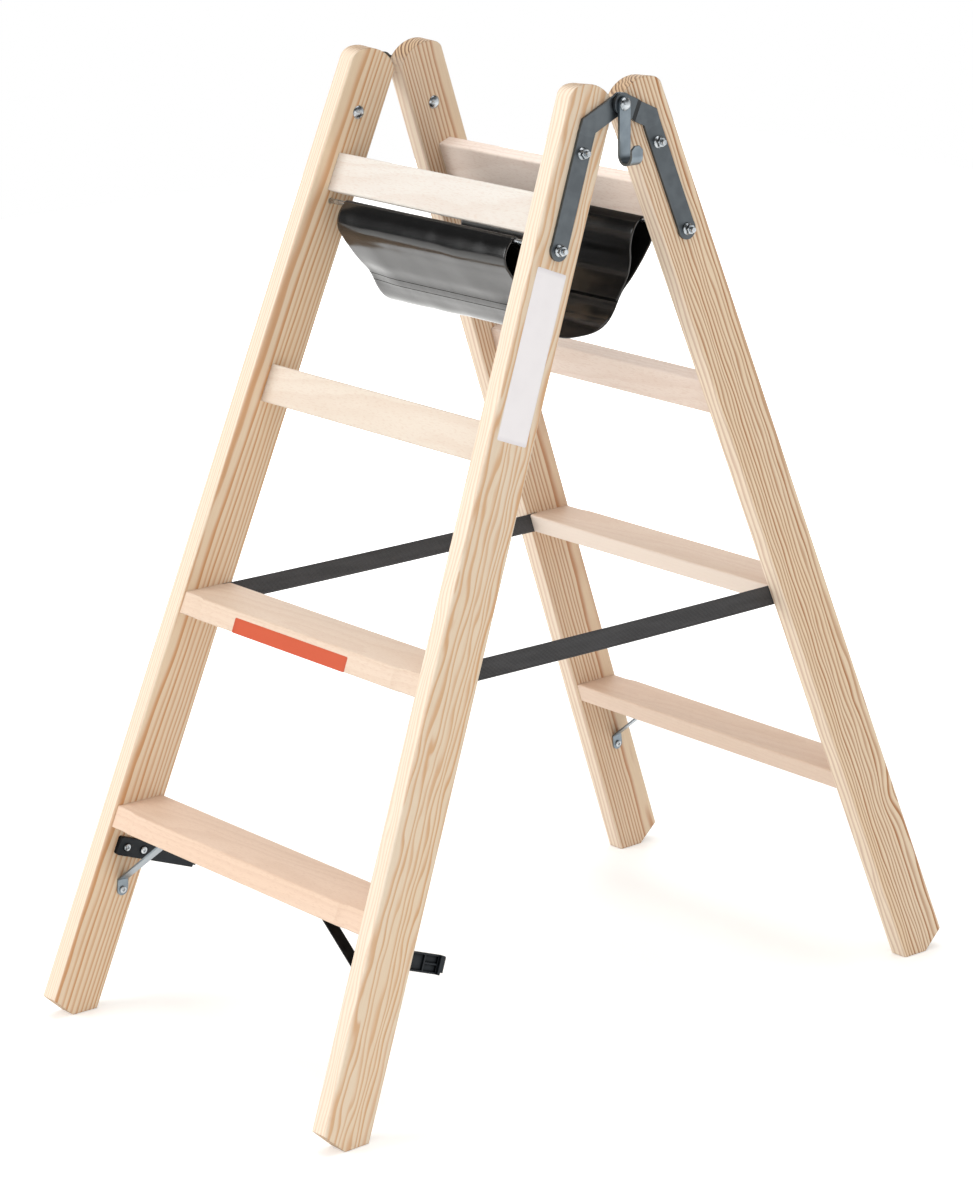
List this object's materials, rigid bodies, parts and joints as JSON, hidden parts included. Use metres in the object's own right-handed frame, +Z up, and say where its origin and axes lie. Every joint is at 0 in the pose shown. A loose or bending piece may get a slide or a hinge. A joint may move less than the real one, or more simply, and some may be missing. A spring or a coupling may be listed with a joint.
{
  "type": "trestle ladder",
  "caption": "Folding wooden trestle ladder with rungs on both sides, webbing straps, a tool sling, a bucket hook and carrying clips.",
  "frame": {"origin": "on the floor under the hinge axis, midway between the stiles", "axes": "+X to the right across the ladder, +Y from the front frame to the rear frame, +Z up"},
  "size_m": [0.5378, 0.9536, 1.1024],
  "materials": {
    "pine": "planed, bare",
    "beech": "planed, bare",
    "zinc_plate": "zinc plated, dull",
    "bright_steel": "zinc plated, bright",
    "black_plastic": "moulded, matt",
    "webbing": "woven webbing",
    "vinyl": "coated sheet, glossy"
  },
  "bodies": {
    "front_frame": {"front_left_stile": "pine", "front_right_stile": "pine", "front_rung_1": "beech", "front_rung_2": "beech", "front_rung_3": "beech", "front_rung_4": "beech", "front_tie_rod": "bright_steel", "front_left_hinge_plate": "zinc_plate", "front_right_hinge_plate": "zinc_plate", "front_hinge_bolts": "bright_steel", "front_flange_nuts": "bright_steel", "left_hinge_pin": "bright_steel", "right_hinge_pin": "bright_steel", "hinge_washers": "bright_steel", "front_left_brace": "zinc_plate", "front_right_brace": "zinc_plate", "front_brace_screws": "bright_steel", "left_transport_clip": "black_plastic", "right_transport_clip": "black_plastic", "clip_screws": "bright_steel", "left_spreader_strap": "webbing", "right_spreader_strap": "webbing", "tool_sling": "vinyl"},
    "rear_frame": {"rear_left_stile": "pine", "rear_right_stile": "pine", "rear_rung_1": "beech", "rear_rung_2": "beech", "rear_rung_3": "beech", "rear_rung_4": "beech", "rear_tie_rod": "bright_steel", "rear_left_hinge_plate": "zinc_plate", "rear_right_hinge_plate": "zinc_plate", "rear_hinge_bolts": "bright_steel", "rear_flange_nuts": "bright_steel", "rear_left_brace": "zinc_plate", "rear_right_brace": "zinc_plate", "rear_brace_screws": "bright_steel"},
    "hook": {"bucket_hook": "zinc_plate"}
  },
  "joints": [
    {"name": "fold", "type": "hinge", "parent": "front_frame", "child": "rear_frame", "pos_m": [0, 0, 1.078], "axis": [-1, 0, 0], "range_deg": [0, 42], "deforming": ["left_spreader_strap", "right_spreader_strap", "tool_sling"]},
    {"name": "hook_swing", "type": "hinge", "parent": "front_frame", "child": "hook", "pos_m": [0, 0, 1.078], "axis": [1, 0, 0], "continuous": true}
  ]
}
